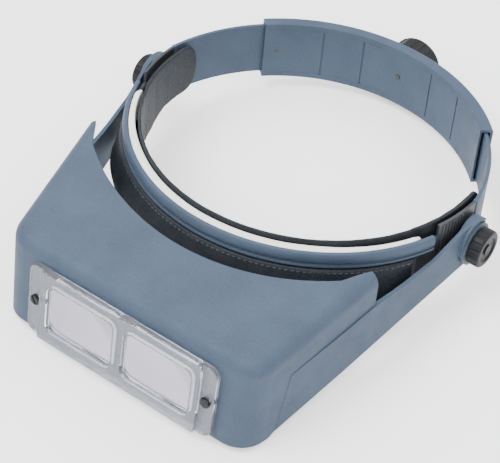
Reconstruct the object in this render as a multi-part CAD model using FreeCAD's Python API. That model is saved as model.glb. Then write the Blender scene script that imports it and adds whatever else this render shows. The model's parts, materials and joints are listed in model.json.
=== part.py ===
"""Head visor magnifier, made of its separate pieces. Millimetres.

The pieces are built in the head frame: X is sideways (+X is the wearer's left), Y points to the
back of the head, and the visor's lens faces -Y. Z is up along the wearer's head. The finished
object is then laid on a table, resting on the visor's lower front edge and on the rear sleeve,
with Z = 0 at the table and the origin under the middle of its bounding box.
"""

import FreeCAD
import Part
import os
from math import asin, atan2, ceil, cos, degrees, pi, radians, sin, sqrt, tan

from FreeCAD import Vector

# ---------------------------------------------------------------- driving dimensions

# headband, front half: concentric layers round one centre
FRONT_CENTRE_Y = 9.6
CORE_RADIUS = 98.2           # middle of the thin strip that carries everything else
CORE_THICKNESS = 1.6
BAND_HEIGHT = 31.2           # height of the side straps and of the core's side plates
CORE_FRONT_TOP = 8.5
SIDE_PLATE_START = -16.0     # degrees; the side plates run from here to the strap hinges
RIB_COUNT = 7
RIB_PITCH = 1.35             # degrees
RIB_HEIGHT = 0.6
RIB_MARGIN = 1.0             # plain edge above and below the ribs
WELD = 0.2                   # how far two solids of one piece run into each other before they are joined
LAYER_GAP = 0.3

# outer rail over the forehead
RAIL_THICKNESS = 2.9
RAIL_BOTTOM = 4.0
RAIL_TOP = 12.0
RAIL_END = -18.5             # degrees from the +X axis
RAIL_LIP_HEIGHT = 1.3
RAIL_GROOVE = 1.0
RAIL_PIN_ANGLES = (-35.0, -90.0, -145.0)
RAIL_PIN_RADIUS = 1.2
RAIL_PIN_Z = 6.2
RAIL_PIN_COVER = 1.2         # rail left over the end of each pin
RAIL_EDGE_ROUND = 1.1        # how far the rail's top edge falls back
RAIL_LIP_SET_BACK = 0.2

# foam strip and leather comfort band
FOAM_THICKNESS = 4.7
FOAM_BOTTOM = 2.0
FOAM_TOP = 11.5
FOAM_END = -22.0
LEATHER_FRONT_DEPTH = 5.8    # forehead side, behind the middle of the core strip
LEATHER_SIDE_GAP = 2.8       # between the core strip and the leather at the temples
LEATHER_SIDE_THICKNESS = 2.4
LEATHER_TOP = 14.8
LEATHER_BOTTOM = -21.0
LEATHER_FOLD = 2.2           # thickness of the flap that folds up over the outside
LEATHER_FLAP_TOP = 3.0
LEATHER_FLAP_THICKNESS = 4.2
LEATHER_FLAP_END = -24.0
LEATHER_PAST_FOAM = 0.4      # degrees from the foam's end to where the leather thickens
LEATHER_END_Y = 24.0
LEATHER_END_ROUND = 9.0
LEATHER_TAPER_Y = -24.0      # from here back the leather narrows to the strap's height
LEATHER_NARROW_Y = 0.0       # and from here back it has that height
LEATHER_SHORTFALL = 0.4      # its lower edge ends this far above the strap's

# side straps and rear sleeve: one circle through the strap hinges and the back of the head
BACK_FLATTENING = 3.2        # the back is this much nearer the head centre than the core's radius
STRAP_THICKNESS = 1.8
STRAP_HINGE_Y = 12.0
STRAP_BARREL_RADIUS = 1.2
STRAP_HALF_FROM = 26.0       # degrees from the back; here each strap narrows to its rack half
TAIL_REACH = 15.0            # degrees that each rack tail runs past the back
SLEEVE_HALF_ANGLE = 47.5
SLEEVE_EDGE = 1.6            # top and bottom walls of the sleeve
SLEEVE_WALL = 1.5
STRAP_PLAY = 1.3             # room inside the sleeve on each face of the strap
STRAP_EDGE_PLAY = 0.6
COVER_THICKNESS = 1.1
COVER_LIP = 1.6
COVER_GROOVES = (13.5, 27.5)  # degrees from the back, on both sides
COVER_GROOVE_WIDTH = 1.0
COVER_GROOVE_DEPTH = 0.45
RIVET_ANGLES = (90 - 43.0, 90 + 43.0)
RIVET_RADIUS = 1.3

# rack and pinion of the size adjuster
GEAR_MODULE = 1.25
GEAR_TEETH = 10
PRESSURE_ANGLE = 20.0
RACK_ADDENDUM = 0.70
RACK_ROOT_CLEARANCE = 0.30
PINION_ADDENDUM = 0.80
PINION_ROOT_CLEARANCE = 0.30
FLANK_CLEARANCE = 0.28
RACK_PHASE = 0.12            # the racks start this far apart so that they stay in mesh all the way
PINION_FACE = 3.4
SHAFT_RADIUS = 4.0
RUNNING_CLEARANCE = 0.06
PIN_RADIUS = 1.5
REAR_KNOB_RADIUS = 15.0
REAR_KNOB_DEPTH = 13.5
REAR_KNOB_FLUTES = 20
DETENT_WASHER_RADIUS = 8.0
WASHER_THICKNESS = 0.6

# pivots of the visor
PIVOT_Y = 4.5
PIVOT_Z = -4.5
BOSS_RADIUS = 12.1           # rounded end of the arm, a little above the pivot
BOSS_Y = 3.4
BOSS_Z = -0.8
BOSS_GAP = 1.6               # between the core strip and the arm's inner face
BOSS_THICKNESS = 5.1
BOLT_RADIUS = 2.5
BOLT_HEAD_RADIUS = 5.0
BOLT_HEAD_THICKNESS = 1.6
BOLT_HEAD_GAP = 0.8          # the head clears the curved core strip by this much in the middle
BUSH_RADIUS = 4.0
BUSH_END_GAP = 0.02
COLLAR_RADIUS = 12.0
COLLAR_SEAT = 1.2            # how deep the collar sits in the boss
COLLAR_STANDS = 0.6          # how far it stands out
COLLAR_RECESS = 1.6          # width of the open groove round the collar
FRICTION_WASHER_RADIUS = 6.2
WAVE_WASHER_RADIUS = 7.0
PIVOT_KNOB_RADIUS = 10.4
PIVOT_KNOB_DEPTH = 6.4
PIVOT_KNOB_FLUTES = 16
INSERT_RADIUS = 4.4
FACE_GAP = 0.15              # air between faces that turn past each other
BOLT_END_COVER = 2.5         # knob left over the bolt's end
INSERT_COVER = 1.8           # knob left over the insert
PIVOT_KNOB_CROWN = 1.6
REAR_KNOB_CROWN = 2.0
REAR_SHAFT_SHARE = 0.6       # how far the shaft reaches into the rear knob
FLUTE_WIDTH = 0.42           # scallop radius as a share of half the pitch round the rim
FLUTE_SHALLOWNESS = 0.45
KNOB_DISH_DEPTH = 0.8
KNOB_DISH_FLOOR = 0.62       # shares of the knob's radius
KNOB_DISH_MOUTH = 0.70
KNOB_HUB = 0.28

# visor hood
WALL = 2.2
HOOD_GAP = 12.9              # between the rail and the middle of the hood's rear edge
HOOD_TOP_Z = 5.0
HOOD_TOP_SLOPE = 14.0        # degrees, falling to the front
HOOD_EDGE_RADIUS = 132.0     # plan radius of the hollow rear edge
HOOD_CORNER = 39.0           # the rear corners are cut off square, this far behind that edge
HOOD_CORNER_WIDTH = 4.6      # width of each corner where it is cut off
HOOD_CORNER_SLANT = 34.0     # degrees, its inner side from straight ahead
HOOD_DEPTH = 42.1            # from that edge to the front face at the lens plate's middle
HOOD_FRONT_TILT = 4.0        # degrees, top leaning back
HOOD_BOTTOM_Z = -55.8
HOOD_STEP = 15.6             # behind the front face the lower edge steps up to the arm's
HOOD_STEP_LENGTH = 4.0
CHEEK_TAPER = 19.2           # half width there is less than the core's radius by this,
CHEEK_FRONT_SET_BACK = 8.6   # this far behind the front face
CORNER_ROUND = 15.0          # upright front corners
TOP_SIDE_ROUND = 8.0
INNER_ROUND_SHARE = 0.8      # the inner rounds are smaller by this share of the wall
HOOD_BLANK = 50.5            # the blank runs this far behind its rear edge before it is hollowed

# arms
ARM_SLOPE = 16.8             # degrees, the arm's lower edge
ARM_LOWER_Z = -14.4          # height of the lower edge's line at the pivot end
ARM_PROUD = 0.8              # the arm stands this far out of the hood's cheek
ARM_WALL = 1.9
ARM_RISE = 20.5              # this far behind the hood's rear edge the arm stands out fully
# upper edge: (distance behind the hood's rear edge, height), then (distance from the pivot, height)
ARM_UPPER_FRONT = ((-15.5, -19.0), (16.0, -11.5), (39.5, -5.5), (51.5, -4.8), (60.5, -3.6))
ARM_UPPER_REAR = ((-30.2, 0.3), (-20.5, 5.0), (-11.5, 9.6))

# lens plate
PLATE_WIDTH = 118.0
PLATE_HEIGHT = 43.0
PLATE_FLANGE = 2.6
PLATE_BLOCK_WIDTH = 101.0
PLATE_BLOCK = 2.2
PLATE_CENTRE_Z = -34.0
PLATE_CORNER = 5.0
WINDOW_WIDTH = 41.0
WINDOW_HEIGHT = 27.5
WINDOW_BAR = 8.0
WINDOW_CORNER = 4.0
WINDOW_LEDGE = 1.2
LENS_RECESS = 1.5
LENS_EDGE = 2.0
LENS_BULGE = 1.9
LENS_CLEARANCE = 0.05
SCREW_SPACING = 108.5
SCREW_RADIUS = 1.5
SCREW_HEAD_RADIUS = 2.9
SCREW_HEAD_HEIGHT = 1.5
SCREW_LENGTH = 9.0
NUT_RADIUS = 3.0
NUT_LENGTH = 4.5
NUT_BOSS_RADIUS = 5.0
NUT_SET_IN = 0.5             # plastic left between the nut and the wall
NUT_FIT = 0.02
SCREW_HOLE_PLAY = 0.2
SCREW_HEAD_ROUND = 0.6
SCREW_SLOT_WIDTH = 0.8
SCREW_SLOT_DEPTH = 0.7
SCREW_SLOT_TURN = 35.0       # degrees
WINDOW_MARGIN = 1.5          # the hood's openings are larger than the lens windows by this
BLOCK_CORNER = 0.8

# ---------------------------------------------------------------- values that follow

BIG = 400.0                  # longer than anything here, for cutters
CUT_MARGIN = 6.0             # how far a cutter or blank runs past what it shapes
LAP = 1.0                    # degrees by which neighbouring arcs of one piece overlap
TINY = 0.001
UP = Vector(0, 0, 1)
ALONG_X = Vector(1, 0, 0)
BACKWARDS = Vector(0, 1, 0)
ORIGIN = Vector(0, 0, 0)

CORE_INNER = CORE_RADIUS - CORE_THICKNESS / 2
CORE_OUTER = CORE_RADIUS + CORE_THICKNESS / 2
RAIL_INNER = CORE_OUTER + LAYER_GAP
RAIL_OUTER = RAIL_INNER + RAIL_THICKNESS
FOAM_LOWER_OUTER = CORE_INNER - LAYER_GAP
FOAM_UPPER_OUTER = RAIL_INNER - LAYER_GAP
FOAM_INNER = FOAM_UPPER_OUTER - FOAM_THICKNESS
HALF_BAND = BAND_HEIGHT / 2

HINGE_X = sqrt(CORE_RADIUS ** 2 - (STRAP_HINGE_Y - FRONT_CENTRE_Y) ** 2)
HINGE_ANGLE = degrees(asin((STRAP_HINGE_Y - FRONT_CENTRE_Y) / CORE_RADIUS))
BACK_REACH = CORE_RADIUS - BACK_FLATTENING   # middle of the strap, straight behind the head centre
REAR_CENTRE_Y = ((BACK_REACH ** 2 - HINGE_X ** 2 - STRAP_HINGE_Y ** 2)
                 / (2 * (BACK_REACH - STRAP_HINGE_Y)))
STRAP_RADIUS = BACK_REACH - REAR_CENTRE_Y
STRAP_INNER = STRAP_RADIUS - STRAP_THICKNESS / 2
STRAP_OUTER = STRAP_RADIUS + STRAP_THICKNESS / 2
STRAP_HINGE_ANGLE = degrees(asin((STRAP_HINGE_Y - REAR_CENTRE_Y) / STRAP_RADIUS))
CAVITY_INNER = STRAP_INNER - STRAP_PLAY
CAVITY_OUTER = STRAP_OUTER + STRAP_PLAY
SLEEVE_INNER = CAVITY_INNER - COVER_THICKNESS - 2 * RUNNING_CLEARANCE
SLEEVE_OUTER = CAVITY_OUTER + SLEEVE_WALL
SLEEVE_BACK_Y = REAR_CENTRE_Y + SLEEVE_OUTER
CAVITY_HALF_HEIGHT = HALF_BAND + STRAP_EDGE_PLAY
SHAFT_END_Y = SLEEVE_BACK_Y + REAR_SHAFT_SHARE * REAR_KNOB_DEPTH

PITCH_RADIUS = GEAR_MODULE * GEAR_TEETH / 2
TOOTH_PITCH = pi * GEAR_MODULE
RACK_TIP = PITCH_RADIUS - RACK_ADDENDUM
PINION_TIP = PITCH_RADIUS + PINION_ADDENDUM
RACK_ROOT = PINION_TIP + RACK_ROOT_CLEARANCE
PINION_ROOT = RACK_TIP - PINION_ROOT_CLEARANCE

LEATHER_INNER_FRONT = CORE_RADIUS - FRONT_CENTRE_Y - LEATHER_FRONT_DEPTH
LEATHER_OUTER_SIDE = CORE_INNER - LEATHER_SIDE_GAP
LEATHER_INNER_SIDE = LEATHER_OUTER_SIDE - LEATHER_SIDE_THICKNESS
SLEEVE_HEIGHT = BAND_HEIGHT + 2 * (STRAP_EDGE_PLAY + SLEEVE_EDGE)

BOSS_INNER_X = CORE_OUTER + BOSS_GAP
BOSS_OUTER_X = BOSS_INNER_X + BOSS_THICKNESS
HOOD_TOP_Y = FRONT_CENTRE_Y - RAIL_OUTER - HOOD_GAP
HOOD_FRONT_Y = HOOD_TOP_Y - HOOD_DEPTH
HOOD_STEP_Y = HOOD_FRONT_Y + HOOD_STEP
HOOD_CORNER_Y = HOOD_TOP_Y + HOOD_CORNER
HOOD_BACK_Y = HOOD_TOP_Y + HOOD_BLANK
ARM_FRONT_Y = HOOD_STEP_Y + HOOD_STEP_LENGTH
ARM_RISE_Y = HOOD_TOP_Y + ARM_RISE
ARM_UPPER = ([(HOOD_TOP_Y + y, z) for y, z in ARM_UPPER_FRONT]
             + [(PIVOT_Y + y, z) for y, z in ARM_UPPER_REAR])
CHEEK_PIVOT_X = BOSS_OUTER_X - ARM_PROUD
CHEEK_FRONT_X = CORE_RADIUS - CHEEK_TAPER
CHEEK_FRONT_Y = HOOD_FRONT_Y + CHEEK_FRONT_SET_BACK
CHEEK_FLARE = (CHEEK_PIVOT_X - CHEEK_FRONT_X) / (PIVOT_Y - CHEEK_FRONT_Y)
NUT_START = WALL + NUT_SET_IN
COLLAR_OUTER_X = BOSS_OUTER_X + COLLAR_STANDS
WAVE_WASHER_X = COLLAR_OUTER_X + FACE_GAP
PIVOT_KNOB_X = WAVE_WASHER_X + WASHER_THICKNESS + FACE_GAP


# ---------------------------------------------------------------- shape helpers

def revolved(points, centre_y, start, end):
    """Sweep a closed outline of (radius, z) points round a vertical axis at (0, centre_y).

    A point with a third value is the middle of an arc from the point before it to the next one.
    """
    edges = []
    i = 0
    while i < len(points):
        here = points[i]
        after = points[(i + 1) % len(points)]
        if len(after) == 3:
            end_point = points[(i + 2) % len(points)]
            arc = Part.Arc(radial_point(here, centre_y), radial_point(after, centre_y),
                           radial_point(end_point, centre_y))
            edges.append(arc.toShape())
            i += 2
        else:
            edges.append(Part.LineSegment(radial_point(here, centre_y),
                                          radial_point(after, centre_y)).toShape())
            i += 1
    face = Part.Face(Part.Wire(edges))
    face.rotate(Vector(0, centre_y, 0), UP, start)
    return face.revolve(Vector(0, centre_y, 0), UP, end - start)


def radial_point(point, centre_y):
    return Vector(point[0], centre_y, point[1])


def sector(centre_y, r_in, r_out, z_low, z_high, start, end):
    """Part of an upright ring with a rectangular section."""
    outline = [(r_in, z_low), (r_out, z_low), (r_out, z_high), (r_in, z_high)]
    return revolved(outline, centre_y, start, end)


def prism(points, direction):
    """Straight prism over a closed polygon of vectors."""
    return Part.Face(Part.makePolygon(points + [points[0]])).extrude(direction)


def side_prism(outline, x_low, x_high):
    """Prism along X over an outline of (y, z) points."""
    points = [Vector(x_low, y, z) for y, z in outline]
    return prism(points, Vector(x_high - x_low, 0, 0))


def plan_prism(outline, z_low, z_high):
    """Prism along Z over an outline of (x, y) points."""
    points = [Vector(x, y, z_low) for x, y in outline]
    return prism(points, Vector(0, 0, z_high - z_low))


def rod_x(radius, x_low, x_high, y=PIVOT_Y, z=PIVOT_Z):
    return Part.makeCylinder(radius, x_high - x_low, Vector(x_low, y, z), ALONG_X)


def tube_x(r_in, r_out, x_low, x_high):
    return rod_x(r_out, x_low, x_high).cut(rod_x(r_in, x_low - 1, x_high + 1))


def rod_y(radius, y_low, y_high, x=0.0, z=0.0):
    return Part.makeCylinder(radius, y_high - y_low, Vector(x, y_low, z), BACKWARDS)


def rounded_block(width, depth, height, corner):
    """Block centred on X and Z, its back face on Y = 0, with rounded upright-plan corners."""
    block = Part.makeBox(width, depth, height, Vector(-width / 2, -depth, -height / 2))
    return block.makeFillet(corner, [e for e in block.Edges if is_along(e, BACKWARDS)])


def is_along(edge, direction):
    """True for a straight edge that runs along a direction."""
    if not isinstance(edge.Curve, Part.Line):
        return False
    return abs(abs(edge.tangentAt(edge.FirstParameter).dot(direction)) - 1) < 1e-6


def mirrored(shape):
    return shape.mirror(ORIGIN, ALONG_X)


def fluted_knob(radius, depth, flutes, crown):
    """Grip knob along +Z from Z = 0, with a rounded outer rim and scalloped grip."""
    knob = Part.makeCylinder(radius, depth)
    rim = [e for e in knob.Edges
           if isinstance(e.Curve, Part.Circle) and e.CenterOfMass.z > depth / 2]
    knob = knob.makeFillet(crown, rim)
    flute_radius = FLUTE_WIDTH * pi * radius / flutes
    flute_place = Vector(radius + FLUTE_SHALLOWNESS * flute_radius, 0, -1)
    scallop = Part.makeCylinder(flute_radius, depth * 2, flute_place)
    cutters = []
    for i in range(flutes):
        cutter = scallop.copy()
        cutter.rotate(ORIGIN, UP, 360.0 * i / flutes)
        cutters.append(cutter)
    knob = knob.cut(cutters[0].multiFuse(cutters[1:]))
    dish_place = Vector(0, 0, depth - KNOB_DISH_DEPTH)
    dish = Part.makeCone(KNOB_DISH_FLOOR * radius, KNOB_DISH_MOUTH * radius, KNOB_DISH_DEPTH, dish_place)
    hub = Part.makeCylinder(KNOB_HUB * radius, KNOB_DISH_DEPTH, dish_place)
    return knob.cut(dish.cut(hub))


# ---------------------------------------------------------------- headband, front

def headband_core():
    """Thin dark strip with a side plate, ribs and a square bolt hole at each temple."""
    strip = sector(FRONT_CENTRE_Y, CORE_INNER, CORE_OUTER, -HALF_BAND, CORE_FRONT_TOP,
                   SIDE_PLATE_START + LAP, -180 - SIDE_PLATE_START - LAP)
    plate = sector(FRONT_CENTRE_Y, CORE_INNER, CORE_OUTER, -HALF_BAND, HALF_BAND,
                   SIDE_PLATE_START, HINGE_ANGLE)
    socket = Part.makeCylinder(STRAP_BARREL_RADIUS + 2 * FACE_GAP, BIG,
                               Vector(HINGE_X, STRAP_HINGE_Y, -BIG / 2))
    neck = BOLT_RADIUS + RUNNING_CLEARANCE
    square_hole = Part.makeBox(2 * CUT_MARGIN, 2 * neck, 2 * neck,
                               Vector(CORE_INNER - CUT_MARGIN, PIVOT_Y - neck, PIVOT_Z - neck))
    pieces = [plate]
    rib_half_height = HALF_BAND - RIB_MARGIN
    for i in range(RIB_COUNT):
        start = SIDE_PLATE_START + (i + 1) * RIB_PITCH
        pieces.append(sector(FRONT_CENTRE_Y, CORE_OUTER - WELD, CORE_OUTER + RIB_HEIGHT,
                             -rib_half_height, rib_half_height, start, start + RIB_PITCH / 2))
    side = pieces[0].multiFuse(pieces[1:]).cut(socket).cut(square_hole)
    holes = [rail_pin_rod(angle, RUNNING_CLEARANCE) for angle in RAIL_PIN_ANGLES]
    core = strip.multiFuse([side, mirrored(side)])
    return core.cut(holes[0].multiFuse(holes[1:])).removeSplitter()


def rail_pin_rod(angle, extra=0.0):
    """Pin from the core into the rail, or its hole when made larger by extra."""
    length = RAIL_OUTER - RAIL_PIN_COVER - CORE_INNER + extra
    start = CORE_INNER - extra
    rod = Part.makeCylinder(RAIL_PIN_RADIUS + extra, length + extra,
                            Vector(start, FRONT_CENTRE_Y, RAIL_PIN_Z), ALONG_X)
    rod.rotate(Vector(0, FRONT_CENTRE_Y, 0), UP, angle)
    return rod


def rail_pins():
    return Part.makeCompound([rail_pin_rod(angle) for angle in RAIL_PIN_ANGLES])


def front_rail():
    """Rounded outer rail over the forehead, with a lip and a groove along its lower edge."""
    shoulder = RAIL_OUTER - RAIL_EDGE_ROUND
    lip = RAIL_OUTER - RAIL_LIP_SET_BACK
    lip_top = RAIL_BOTTOM + RAIL_LIP_HEIGHT
    middle = (lip_top + RAIL_GROOVE + RAIL_TOP) / 2
    outline = [(RAIL_INNER, RAIL_BOTTOM), (lip, RAIL_BOTTOM), (lip, lip_top),
               (shoulder, lip_top), (shoulder, lip_top + RAIL_GROOVE * 0.6),
               (RAIL_OUTER, middle, "arc"), (shoulder, RAIL_TOP), (RAIL_INNER, RAIL_TOP)]
    rail = revolved(outline, FRONT_CENTRE_Y, -180 - RAIL_END, RAIL_END)
    holes = [rail_pin_rod(angle, RUNNING_CLEARANCE) for angle in RAIL_PIN_ANGLES]
    return rail.cut(holes[0].multiFuse(holes[1:]))


def foam_strip():
    """Foam behind the leather; its upper part reaches over the core strip to the rail."""
    step = CORE_FRONT_TOP + LAYER_GAP
    outline = [(FOAM_INNER, FOAM_BOTTOM), (FOAM_LOWER_OUTER, FOAM_BOTTOM), (FOAM_LOWER_OUTER, step),
               (FOAM_UPPER_OUTER, step), (FOAM_UPPER_OUTER, FOAM_TOP), (FOAM_INNER, FOAM_TOP)]
    return revolved(outline, FRONT_CENTRE_Y, -180 - FOAM_END, FOAM_END)


def comfort_band():
    """Leather band: a pad inside the headband that folds under it and up over the outside."""
    fold_floor = LEATHER_BOTTOM + LEATHER_FOLD
    flap_inner = RAIL_INNER
    flap_outer = flap_inner + LEATHER_FLAP_THICKNESS
    deep = LEATHER_INNER_FRONT - CUT_MARGIN
    leaf = FOAM_INNER - LAYER_GAP
    fold = revolved([(deep, LEATHER_TOP), (leaf, LEATHER_TOP), (leaf, fold_floor),
                     (flap_inner, fold_floor), (flap_inner, LEATHER_FLAP_TOP),
                     (flap_outer, LEATHER_FLAP_TOP), (flap_outer, LEATHER_BOTTOM),
                     (deep, LEATHER_BOTTOM)],
                    FRONT_CENTRE_Y, -180 - LEATHER_FLAP_END, LEATHER_FLAP_END)
    end = degrees(asin((LEATHER_END_Y - FRONT_CENTRE_Y) / LEATHER_OUTER_SIDE)) + LAP
    sheet = sector(FRONT_CENTRE_Y, deep, leaf, LEATHER_BOTTOM, LEATHER_TOP, LEATHER_FLAP_END - LAP,
                   FOAM_END + 2 * LAP)
    temple = sector(FRONT_CENTRE_Y, deep, LEATHER_OUTER_SIDE, LEATHER_BOTTOM, LEATHER_TOP,
                    FOAM_END + LEATHER_PAST_FOAM, end)
    side = sheet.fuse(temple)
    band = fold.multiFuse([side, mirrored(side)])
    # the forehead side is a flatter circle, so that the pad is thick in front and thin at the temples
    centre_y = ((LEATHER_INNER_SIDE ** 2 + PIVOT_Y ** 2 - LEATHER_INNER_FRONT ** 2)
                / (2 * (LEATHER_INNER_FRONT + PIVOT_Y)))
    radius = LEATHER_INNER_FRONT + centre_y
    band = band.cut(Part.makeCylinder(radius, BIG, Vector(0, centre_y, -BIG / 2)))
    low_end = -HALF_BAND + LEATHER_SHORTFALL
    keep = side_prism([(-BIG, LEATHER_BOTTOM - CUT_MARGIN), (LEATHER_TAPER_Y, LEATHER_BOTTOM - TINY),
                       (LEATHER_NARROW_Y, low_end), (LEATHER_END_Y, low_end),
                       (LEATHER_END_Y, LEATHER_TOP + CUT_MARGIN), (-BIG, LEATHER_TOP + CUT_MARGIN)],
                      -BIG, BIG)
    band = band.common(keep)
    ends = [e for e in band.Edges if is_across_end(e)]
    return band.makeFillet(LEATHER_END_ROUND, ends).removeSplitter()


def is_across_end(edge):
    """The short edges that run through the leather at its upper and lower rear corners."""
    middle = edge.CenterOfMass
    box = edge.BoundBox
    return (abs(middle.y - LEATHER_END_Y) < 0.01 and box.ZLength < 0.01
            and box.XLength > 1 and box.YLength < 0.01)


# ---------------------------------------------------------------- visor pivots

def pivot_bolt():
    head_x = CORE_INNER - BOLT_HEAD_GAP
    head = rod_x(BOLT_HEAD_RADIUS, head_x - BOLT_HEAD_THICKNESS, head_x)
    neck = Part.makeBox(CORE_OUTER - head_x, 2 * BOLT_RADIUS, 2 * BOLT_RADIUS,
                        Vector(head_x, PIVOT_Y - BOLT_RADIUS, PIVOT_Z - BOLT_RADIUS))
    shank = rod_x(BOLT_RADIUS, CORE_OUTER - WELD, PIVOT_KNOB_X + PIVOT_KNOB_DEPTH - BOLT_END_COVER)
    return head.multiFuse([neck, shank]).removeSplitter()


def pivot_bush():
    return tube_x(BOLT_RADIUS + RUNNING_CLEARANCE / 2, BUSH_RADIUS, CORE_OUTER + FACE_GAP,
                  WAVE_WASHER_X - BUSH_END_GAP)


def friction_washer():
    return tube_x(BUSH_RADIUS + RUNNING_CLEARANCE, FRICTION_WASHER_RADIUS, CORE_OUTER + FACE_GAP,
                  BOSS_INNER_X - FACE_GAP)


def pivot_collar():
    return tube_x(BUSH_RADIUS + RUNNING_CLEARANCE, COLLAR_RADIUS, BOSS_OUTER_X - COLLAR_SEAT,
                  COLLAR_OUTER_X)


def wave_washer():
    return tube_x(BOLT_RADIUS + RUNNING_CLEARANCE, WAVE_WASHER_RADIUS, WAVE_WASHER_X,
                  WAVE_WASHER_X + WASHER_THICKNESS)


def pivot_knob():
    knob = fluted_knob(PIVOT_KNOB_RADIUS, PIVOT_KNOB_DEPTH, PIVOT_KNOB_FLUTES, PIVOT_KNOB_CROWN)
    knob.rotate(ORIGIN, BACKWARDS, 90)
    knob.translate(Vector(PIVOT_KNOB_X, PIVOT_Y, PIVOT_Z))
    seat = rod_x(INSERT_RADIUS, PIVOT_KNOB_X - 1, PIVOT_KNOB_X + PIVOT_KNOB_DEPTH - INSERT_COVER)
    return knob.cut(seat)


def knob_insert():
    return tube_x(BOLT_RADIUS + RUNNING_CLEARANCE, INSERT_RADIUS, PIVOT_KNOB_X,
                  PIVOT_KNOB_X + PIVOT_KNOB_DEPTH - INSERT_COVER - 2 * WELD)


# ---------------------------------------------------------------- visor

def cheek_x(y, inset=0.0):
    """Half width of the hood at a given Y, or of its inside when inset by the wall."""
    return CHEEK_FRONT_X + CHEEK_FLARE * (y - CHEEK_FRONT_Y) - inset


def front_y(z, inset=0.0):
    return HOOD_FRONT_Y + (z - PLATE_CENTRE_Z) * tan(radians(HOOD_FRONT_TILT)) + inset


def top_z(y, inset=0.0):
    return HOOD_TOP_Z + (y - HOOD_TOP_Y) * tan(radians(HOOD_TOP_SLOPE)) - inset


def arm_lower_z(y):
    return ARM_LOWER_Z + y * tan(radians(ARM_SLOPE))


def hood_block(inset, bottom_extra, back_y):
    """Solid with the hood's outer faces, or its inner faces when inset by the wall.

    bottom_extra lowers its underside, and back_y is where it ends behind.
    """
    floor = HOOD_BOTTOM_Z - bottom_extra
    y_top = front_y(top_z(HOOD_FRONT_Y, inset), inset)
    outline = [(front_y(floor, inset), floor), (y_top, top_z(y_top, inset)),
               (back_y, top_z(back_y, inset)), (back_y, arm_lower_z(back_y) - bottom_extra),
               (ARM_FRONT_Y, arm_lower_z(ARM_FRONT_Y) - bottom_extra), (HOOD_STEP_Y, floor)]
    side = side_prism(outline, -BIG / 2, BIG / 2)
    far_y = HOOD_FRONT_Y - 3 * CUT_MARGIN
    plan = plan_prism([(cheek_x(far_y, inset), far_y), (cheek_x(back_y, inset), back_y),
                       (-cheek_x(back_y, inset), back_y), (-cheek_x(far_y, inset), far_y)],
                      -BIG / 2, BIG / 2)
    block = side.common(plan)
    half_height = (HOOD_TOP_Z - HOOD_BOTTOM_Z) / 2
    corners = [e for e in block.Edges
               if e.CenterOfMass.y < HOOD_FRONT_Y + CORNER_ROUND / 2
               and e.BoundBox.ZLength > half_height / 2]
    shrink = INNER_ROUND_SHARE * inset
    block = block.makeFillet(CORNER_ROUND - shrink, corners)
    rims = []
    for edge in block.Edges:
        points = [edge.valueAt(edge.FirstParameter), edge.valueAt(edge.LastParameter)]
        on_top = all(abs(p.z - top_z(p.y, inset)) < 10 * TINY for p in points)
        if on_top and edge.CenterOfMass.y < back_y - 1:
            rims.append(edge)
    return block.makeFillet(TOP_SIDE_ROUND - shrink, rims)


def arm_plate(back_y=PIVOT_Y):
    """One arm, from the hood's cheek to the pivot, as a flat bar along the flared cheek."""
    front = ARM_FRONT_Y
    across_y = -BOSS_RADIUS * sin(radians(ARM_SLOPE))
    across_z = BOSS_RADIUS * cos(radians(ARM_SLOPE))
    boss_top = (BOSS_Y + across_y, BOSS_Z + across_z)
    boss_low = (BOSS_Y - across_y, BOSS_Z - across_z)
    outline = [(front, arm_lower_z(front)), boss_low, boss_top] + ARM_UPPER[::-1]
    side = side_prism(outline, 0, BIG)
    far_y = front - 10
    slab = plan_prism([(cheek_x(far_y), far_y), (cheek_x(far_y) - ARM_WALL, far_y),
                       (cheek_x(back_y) + ARM_PROUD - ARM_WALL, back_y),
                       (cheek_x(back_y) + ARM_PROUD, back_y),
                       (cheek_x(ARM_RISE_Y) + ARM_PROUD, ARM_RISE_Y)],
                      -BIG / 2, BIG / 2)
    return side.common(slab)


def plate_place(shape):
    """Move a shape from the lens plate's own frame (back face on Y = 0) to the front of the hood."""
    placed = shape.copy()
    placed.rotate(ORIGIN, ALONG_X, -HOOD_FRONT_TILT)
    placed.translate(Vector(0, HOOD_FRONT_Y - FACE_GAP, PLATE_CENTRE_Z))
    return placed


def window_block(x_side, extra, depth_from, depth_to):
    """Rounded opening of one lens in the plate's frame."""
    block = rounded_block(WINDOW_WIDTH + 2 * extra, depth_to - depth_from, WINDOW_HEIGHT + 2 * extra,
                          WINDOW_CORNER + extra)
    block.translate(Vector(x_side * (WINDOW_BAR + WINDOW_WIDTH) / 2, -depth_from, 0))
    return block


def rear_edge_cutter():
    """Hollows out the hood's rear edge: round in the middle, straighter towards both corners."""
    edge_centre = Vector(0, HOOD_TOP_Y + HOOD_EDGE_RADIUS, -BIG / 2)
    cutter = Part.makeCylinder(HOOD_EDGE_RADIUS, BIG, edge_centre)
    corner_x = cheek_x(HOOD_CORNER_Y) - HOOD_CORNER_WIDTH
    length = HOOD_CORNER + CUT_MARGIN
    spread = length * tan(radians(HOOD_CORNER_SLANT))
    flats = [(corner_x - spread, HOOD_CORNER_Y - length), (corner_x + spread, HOOD_CORNER_Y + length)]
    flats += [(-x, y) for x, y in reversed(flats)]
    return cutter.common(plan_prism(flats, -BIG / 2, BIG / 2))


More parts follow.
